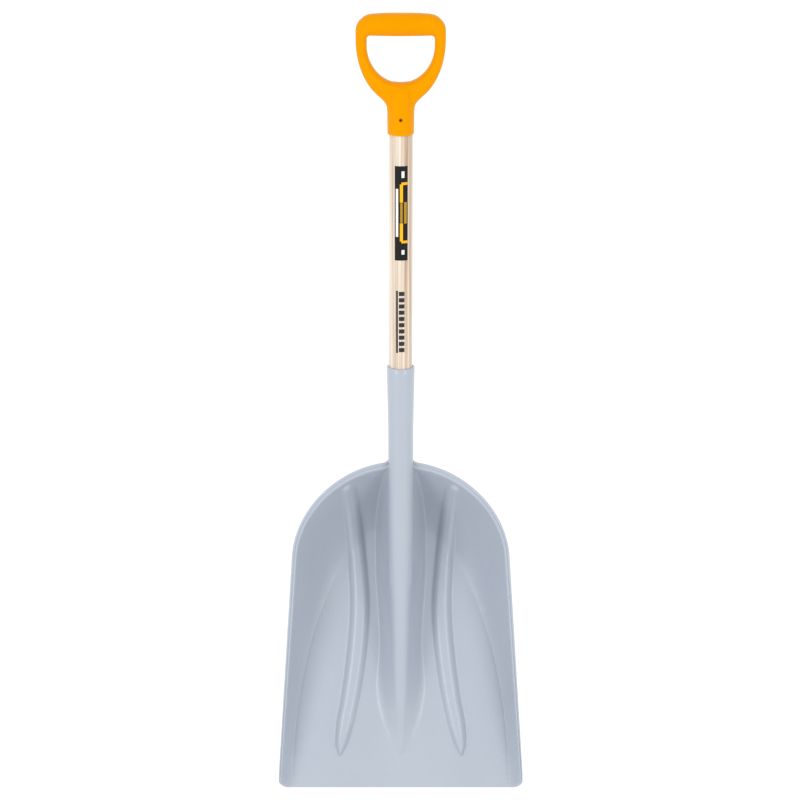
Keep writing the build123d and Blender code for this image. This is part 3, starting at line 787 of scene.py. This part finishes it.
def surface_mesh(distance, low, high, cell):
    """Closed mesh of the surface where distance is 0, one point for each cell that it crosses."""
    counts = [int((high[axis] - low[axis]) / cell) + 2 for axis in range(3)]
    ticks = [low[axis] + cell * np.arange(counts[axis]) for axis in range(3)]
    grid = np.stack(np.meshgrid(*ticks, indexing="ij"), axis=-1)
    values = distance(grid.reshape(-1, 3)).reshape(counts)
    solid = values < 0
    corners = [(i, j, k) for i in (0, 1) for j in (0, 1) for k in (0, 1)]

    def shifted(array, corner):
        return array[tuple(slice(step, step + count - 1) for step, count in zip(corner, counts))]

    filled = sum(shifted(solid, corner).astype(int) for corner in corners)
    active = (filled > 0) & (filled < 8)
    total = np.zeros(active.shape + (3,))
    number = np.zeros(active.shape)
    for first in corners:
        for axis in range(3):
            if first[axis] == 1:
                continue
            second = tuple(step + (place == axis) for place, step in enumerate(first))
            a, b = shifted(values, first), shifted(values, second)
            crossing = (a < 0) != (b < 0)
            share = np.where(crossing, a / np.where(crossing, a - b, 1.0), 0.0)
            offset = np.array(first, float) + np.zeros(active.shape + (3,))
            offset[..., axis] += share
            total += offset * crossing[..., None]
            number += crossing
    cells = np.argwhere(active)
    points = np.array(low) + cell * (cells + (total[active] / number[active][:, None]))
    index = np.full(active.shape, -1)
    index[active] = np.arange(len(cells))
    faces = []
    for axis in range(3):
        u, v = [other for other in range(3) if other != axis]
        if axis == 1:
            u, v = v, u
        near = [slice(1, count - 1) for count in counts]
        near[axis] = slice(0, counts[axis] - 1)
        far = list(near)
        far[axis] = slice(1, counts[axis])
        here, there = solid[tuple(near)], solid[tuple(far)]
        for wanted, flip in ((here & ~there, False), (~here & there, True)):
            places = np.argwhere(wanted)
            places[:, u] += 1
            places[:, v] += 1
            ring = []
            for step_u, step_v in ((0, 0), (-1, 0), (-1, -1), (0, -1)):
                at = places.copy()
                at[:, u] += step_u
                at[:, v] += step_v
                ring.append(index[at[:, 0], at[:, 1], at[:, 2]])
            ring = np.stack(ring, axis=-1)
            faces.append(ring[:, ::-1] if flip else ring)
    for _ in range(SURFACE_ROUNDS):
        here = distance(points)
        slope = np.zeros(points.shape)
        for axis in range(3):
            nudge = np.zeros(3)
            nudge[axis] = SURFACE_NUDGE
            slope[:, axis] = (distance(points + nudge) - here) / nudge[axis]
        size = np.maximum((slope ** 2).sum(axis=1), 0.25)
        move = -(here / size)[:, None] * slope
        points = points + np.clip(move, -0.4 * cell, 0.4 * cell)
    return points, np.concatenate(faces)


# Materials
def shader_of(material):
    return material.node_tree.nodes["Principled BSDF"]


def new_material(name):
    material = bpy.data.materials.new(name)
    material.use_nodes = True
    return material, shader_of(material), material.node_tree


def maths(tree, operation):
    node = tree.nodes.new("ShaderNodeMath")
    node.operation = operation
    return node


def object_place(tree):
    return tree.nodes.new("ShaderNodeTexCoord").outputs["Object"]


def noise(tree, vector, scale, detail=3.0, roughness=0.5):
    node = tree.nodes.new("ShaderNodeTexNoise")
    node.inputs["Scale"].default_value = scale
    node.inputs["Detail"].default_value = detail
    node.inputs["Roughness"].default_value = roughness
    tree.links.new(vector, node.inputs["Vector"])
    return node.outputs["Fac"]


def ramp(tree, source, stops):
    """Colour ramp with (position, colour) stops."""
    node = tree.nodes.new("ShaderNodeValToRGB")
    elements = node.color_ramp.elements
    while len(elements) < len(stops):
        elements.new(0.5)
    for element, (position, colour) in zip(elements, stops):
        element.position = position
        element.color = (*colour, 1.0)
    tree.links.new(source, node.inputs["Fac"])
    return node.outputs["Color"]


def spread(tree, source, low, high):
    """Value that runs from low to high as source runs over the middle of its range."""
    node = tree.nodes.new("ShaderNodeMapRange")
    node.inputs["From Min"].default_value = 0.3
    node.inputs["From Max"].default_value = 0.7
    node.inputs["To Min"].default_value = low
    node.inputs["To Max"].default_value = high
    tree.links.new(source, node.inputs["Value"])
    return node.outputs["Result"]


def bump(tree, shader, source, strength, distance):
    node = tree.nodes.new("ShaderNodeBump")
    node.inputs["Strength"].default_value = strength
    node.inputs["Distance"].default_value = distance
    tree.links.new(source, node.inputs["Height"])
    tree.links.new(node.outputs["Normal"], shader.inputs["Normal"])


def handle_coordinates(tree):
    """Place on the object as across, along the handle axis and up from it, in metres."""
    place = object_place(tree)
    foot = tool_origin + tool_along * (AXIS_FOOT * MM)
    up = axis_direction.cross(Vector((-1.0, 0.0, 0.0)))
    combined = tree.nodes.new("ShaderNodeCombineXYZ")
    for name, direction in (("X", Vector((1.0, 0.0, 0.0))), ("Y", axis_direction), ("Z", up)):
        moved = tree.nodes.new("ShaderNodeVectorMath")
        moved.operation = "SUBTRACT"
        moved.inputs[1].default_value = foot
        tree.links.new(place, moved.inputs[0])
        part = tree.nodes.new("ShaderNodeVectorMath")
        part.operation = "DOT_PRODUCT"
        part.inputs[1].default_value = direction
        tree.links.new(moved.outputs["Vector"], part.inputs[0])
        tree.links.new(part.outputs["Value"], combined.inputs[name])
    return combined.outputs["Vector"]


def stretched(tree, vector, scale):
    node = tree.nodes.new("ShaderNodeVectorMath")
    node.operation = "MULTIPLY"
    node.inputs[1].default_value = scale
    tree.links.new(vector, node.inputs[0])
    return node.outputs["Vector"]


def plastic(name, dark, light, roughness, coat, grain):
    """Moulded plastic: cloudy colour, a fine skin and a gloss that varies a little."""
    material, shader, tree = new_material(name)
    place = object_place(tree)
    cloud = noise(tree, stretched(tree, place, (1.0, 0.4, 1.0)), 9.0, 4.0, 0.55)
    tree.links.new(ramp(tree, cloud, ((0.32, dark), (0.68, light))), shader.inputs["Base Color"])
    gloss = noise(tree, place, 60.0, 4.0, 0.6)
    tree.links.new(spread(tree, gloss, roughness * 0.88, roughness * 1.12), shader.inputs["Roughness"])
    bump(tree, shader, noise(tree, place, 900.0, 3.0, 0.6), 0.12, grain)
    shader.inputs["Specular IOR Level"].default_value = 0.45
    shader.inputs["Coat Weight"].default_value = coat
    shader.inputs["Coat Roughness"].default_value = 0.12
    return material


scoop_plastic = plastic("scoop_plastic_look", (0.392, 0.432, 0.50), (0.418, 0.459, 0.53), 0.36, 0.4, 0.0002)
grip_plastic = plastic("grip_plastic_look", (0.75, 0.284, 0.0), (0.79, 0.304, 0.0), 0.4, 0.0, 0.0003)
shader_of(grip_plastic).inputs["Specular Tint"].default_value = (1.0, 0.55, 0.05, 1.0)
shader_of(grip_plastic).inputs["IOR"].default_value = 1.22


def printed_bars(tree, place, ground, bars):
    """A ground colour with plain printed bars on it: middle across, middle along, width, length, colour."""
    split = tree.nodes.new("ShaderNodeSeparateXYZ")
    tree.links.new(place, split.inputs["Vector"])
    front = maths(tree, "GREATER_THAN")
    front.inputs[1].default_value = 0.0
    tree.links.new(split.outputs["Z"], front.inputs[0])
    colour = ground
    for across, along, width, length, bar_colour in bars:
        inside = []
        for output, middle, size in (("X", across, width), ("Y", along, length)):
            test = maths(tree, "COMPARE")
            test.inputs[1].default_value = middle * MM
            test.inputs[2].default_value = size / 2 * MM
            tree.links.new(split.outputs[output], test.inputs[0])
            inside.append(test.outputs["Value"])
        inside.append(front.outputs["Value"])
        both = inside[0]
        for test in inside[1:]:
            product = maths(tree, "MULTIPLY")
            tree.links.new(both, product.inputs[0])
            tree.links.new(test, product.inputs[1])
            both = product.outputs["Value"]
        mix = tree.nodes.new("ShaderNodeMix")
        mix.data_type = "RGBA"
        tree.links.new(both, mix.inputs["Factor"])
        tree.links.new(colour, mix.inputs[6])
        mix.inputs[7].default_value = (*bar_colour, 1.0)
        colour = mix.outputs[2]
    return colour


WHITE_INK = (0.80, 0.80, 0.79)
BLACK_INK = (0.018, 0.018, 0.02)
YELLOW_INK = (0.92, 0.46, 0.01)
GOLD_INK = (0.42, 0.24, 0.02)


def mark_bars():
    """Plain printed mark on the bare shaft: a long stripe with a row of ticks beside it."""
    bars = [(MARK_STRIPE_PLACE, MARK_START + MARK_LENGTH / 2, MARK_STRIPE_WIDTH, MARK_LENGTH, BLACK_INK)]
    for tick in range(MARK_TICKS):
        middle = MARK_START + (tick + 0.5) * MARK_LENGTH / MARK_TICKS
        bars.append((MARK_TICK_PLACE, middle, MARK_TICK_WIDTH, MARK_TICK_LENGTH, BLACK_INK))
    return bars


def wood_material():
    """Pale straight-grained ash under a clear lacquer."""
    material, shader, tree = new_material("shaft_wood_look")
    place = handle_coordinates(tree)
    bands = noise(tree, stretched(tree, place, (170.0, 1.6, 170.0)), 1.0, 2.0, 0.5)
    fibres = noise(tree, stretched(tree, place, (900.0, 9.0, 900.0)), 1.0, 2.0, 0.6)
    mixed = maths(tree, "MULTIPLY_ADD")
    mixed.inputs[1].default_value = 0.35
    tree.links.new(fibres, mixed.inputs[0])
    tree.links.new(bands, mixed.inputs[2])
    colour = ramp(tree, mixed.outputs["Value"], (
        (0.50, (0.43, 0.30, 0.20)), (0.59, (0.58, 0.45, 0.34)), (0.68, (0.67, 0.565, 0.455)),
        (0.80, (0.76, 0.70, 0.62)),
    ))
    tree.links.new(printed_bars(tree, place, colour, mark_bars()), shader.inputs["Base Color"])
    tree.links.new(spread(tree, fibres, 0.42, 0.5), shader.inputs["Roughness"])
    bump(tree, shader, fibres, 0.15, 0.0002)
    shader.inputs["Coat Weight"].default_value = 0.3
    shader.inputs["Coat Roughness"].default_value = 0.1
    shader.inputs["Specular IOR Level"].default_value = 0.2
    return material


def steel_material(name, dark, light):
    """Plated or browned steel with a fine turned finish."""
    material, shader, tree = new_material(name)
    place = object_place(tree)
    patches = noise(tree, place, 420.0, 4.0, 0.6)
    tree.links.new(ramp(tree, patches, ((0.35, dark), (0.65, light))), shader.inputs["Base Color"])
    tree.links.new(spread(tree, patches, 0.28, 0.42), shader.inputs["Roughness"])
    bump(tree, shader, noise(tree, place, 2500.0, 2.0, 0.5), 0.1, 0.0001)
    shader.inputs["Metallic"].default_value = 1.0
    return material


def label_material():
    """Black vinyl with plain printed bars."""
    material, shader, tree = new_material("label_vinyl_look")
    place = handle_coordinates(tree)
    clouds = noise(tree, place, 300.0, 3.0)
    ground = ramp(tree, clouds, ((0.3, (0.010, 0.010, 0.010)), (0.7, (0.016, 0.016, 0.016))))
    middle = LABEL_START + LABEL_LENGTH / 2
    # Middle across, middle along, width, length and colour of each bar
    bars = [
        (-5.6, middle + 1.0, 3.6, 74.0, WHITE_INK),
        (1.0, middle + 31.0, 4.6, 28.0, YELLOW_INK),
        (1.0, middle - 29.0, 4.6, 28.0, YELLOW_INK),
        (1.0, middle + 1.0, 3.6, 30.0, GOLD_INK),
        (7.0, middle + 1.0, 4.0, 33.0, GOLD_INK),
        (5.6, middle + 46.0, 9.0, 4.0, YELLOW_INK),
        (5.6, middle - 44.0, 9.0, 4.0, YELLOW_INK),
        (3.4, middle + 60.0, 4.4, 10.0, WHITE_INK),
        (3.4, middle - 60.0, 4.4, 7.0, WHITE_INK),
    ]
    tree.links.new(printed_bars(tree, place, ground, bars), shader.inputs["Base Color"])
    tree.links.new(spread(tree, noise(tree, place, 500.0), 0.45, 0.6), shader.inputs["Roughness"])
    shader.inputs["Specular IOR Level"].default_value = 0.12
    return material


nodes = frame["nodes"]


def dress(node, material):
    mesh = nodes[node].data
    mesh.materials.clear()
    mesh.materials.append(material)


dress("handle_shaft", wood_material())
dress("grip_pin", steel_material("browned_steel_look", (0.13, 0.022, 0.004), (0.24, 0.05, 0.01)))
dress("socket_screw", steel_material("zinc_steel_look", (0.42, 0.41, 0.38), (0.62, 0.61, 0.58)))
dress("shaft_label", label_material())

# Scoop
points, faces = scoop_shell()
scoop = make_object("scoop_blade_moulded", points, faces, scoop_plastic)
socket_shape = turned(refined(SOCKET_OUTSIDE, SOCKET_SPACING), SOCKET_SIDES)
socket = make_object("socket_outside", *socket_shape, scoop_plastic)
room_shape = turned(refined(SHAFT_ROOM, ROOM_SPACING), SOCKET_SIDES)
shaft_room = make_object("socket_room", *room_shape, scoop_plastic)
seat = make_object("screw_seat", *screw_seat(), scoop_plastic)
combine(scoop, [socket], "UNION")
combine(scoop, [shaft_room, seat], "DIFFERENCE")
scoop.data.shade_smooth()
scoop.data.set_sharp_from_angle(angle=radians(SHARP_ANGLE))
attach(scoop, "root")
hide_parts("scoop_blade")

# Grip
grip_low = (-GRIP_HALF_WIDTH - GRIP_MARGIN, -GRIP_MARGIN, -GRIP_REACH_UP)
grip_high = (GRIP_HALF_WIDTH + GRIP_MARGIN, GRIP_LENGTH + GRIP_MARGIN, GRIP_REACH_UP)
grip_points, grip_faces = surface_mesh(grip_distance, grip_low, grip_high, GRIP_CELL)
grip_points = along_handle(grip_points + np.array((0.0, COLLAR_MOUTH, 0.0)))
grip = make_object("d_grip_moulded", grip_points, grip_faces.tolist(), grip_plastic)
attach(grip, "root")
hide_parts("d_grip")

# Floor
FLOOR_HALF = 6.0
floor_mesh = bpy.data.meshes.new("floor")
floor_corners = [(FLOOR_HALF * x, FLOOR_HALF * y, 0.0) for x, y in ((-1, -1), (1, -1), (1, 1), (-1, 1))]
floor_mesh.from_pydata(floor_corners, [], [(0, 1, 2, 3)])
floor = bpy.data.objects.new("floor", floor_mesh)
bpy.context.scene.collection.objects.link(floor)
floor_material, floor_shader, _ = new_material("floor_look")
floor_shader.inputs["Base Color"].default_value = (0.12, 0.12, 0.12, 1.0)
floor_shader.inputs["Emission Color"].default_value = (1.0, 1.0, 1.0, 1.0)
floor_shader.inputs["Emission Strength"].default_value = 0.97
floor_shader.inputs["Roughness"].default_value = 0.9
floor_shader.inputs["Specular IOR Level"].default_value = 0.0
floor_mesh.materials.append(floor_material)

# Camera, straight above the floor of the scoop
CAMERA_DISTANCE = 6.0
CAMERA_CENTRE = (-1.1, 606.0)
VIEW_WIDTH = 1.2515
SENSOR_WIDTH = 36.0
camera_data = bpy.data.cameras.new("camera")
camera_data.sensor_width = SENSOR_WIDTH
camera_data.lens = SENSOR_WIDTH * CAMERA_DISTANCE / VIEW_WIDTH
camera_data.clip_end = 50.0
camera = bpy.data.objects.new("camera", camera_data)
bpy.context.scene.collection.objects.link(camera)
camera_place = tool_origin + Vector((CAMERA_CENTRE[0] * MM, 0, 0)) + tool_along * (CAMERA_CENTRE[1] * MM)
camera_place = camera_place + tool_up * CAMERA_DISTANCE
camera.matrix_world = Matrix((
    (1.0, tool_along.x, tool_up.x, camera_place.x),
    (0.0, tool_along.y, tool_up.y, camera_place.y),
    (0.0, tool_along.z, tool_up.z, camera_place.z),
    (0.0, 0.0, 0.0, 1.0),
))
bpy.context.scene.camera = camera

# Light: a bright even room, and two long soft boxes for the gloss
world = bpy.data.worlds.new("room")
bpy.context.scene.world = world
world.use_nodes = True
world.node_tree.nodes["Background"].inputs["Color"].default_value = (1.0, 1.0, 1.0, 1.0)
world.node_tree.nodes["Background"].inputs["Strength"].default_value = 0.95
LIGHT_DISTANCE = 2.8
LIGHT_LENGTH = 2.4
LIT_LENGTH = 0.5
LIT_HEIGHT = 0.1
light_middle = tool_origin + tool_along * LIT_LENGTH + tool_up * LIT_HEIGHT


def area_light(name, angle, width, radiance):
    """Soft box that runs along the tool, turned about it from straight above its floor."""
    data = bpy.data.lights.new(name, "AREA")
    data.shape = "RECTANGLE"
    data.size = width
    data.size_y = LIGHT_LENGTH
    data.energy = radiance * width * LIGHT_LENGTH * pi
    light = bpy.data.objects.new(name, data)
    bpy.context.scene.collection.objects.link(light)
    outward = tool_up * cos(radians(angle)) + Vector((1.0, 0.0, 0.0)) * sin(radians(angle))
    across = outward.cross(tool_along) * -1.0
    place = light_middle + outward * LIGHT_DISTANCE
    light.matrix_world = Matrix((
        (across.x, tool_along.x, outward.x, place.x),
        (across.y, tool_along.y, outward.y, place.y),
        (across.z, tool_along.z, outward.z, place.z),
        (0.0, 0.0, 0.0, 1.0),
    ))


area_light("left_box", -40.0, 0.9, 3.4)
area_light("right_box", 37.0, 0.75, 3.1)
bpy.context.scene.view_settings.view_transform = "Standard"
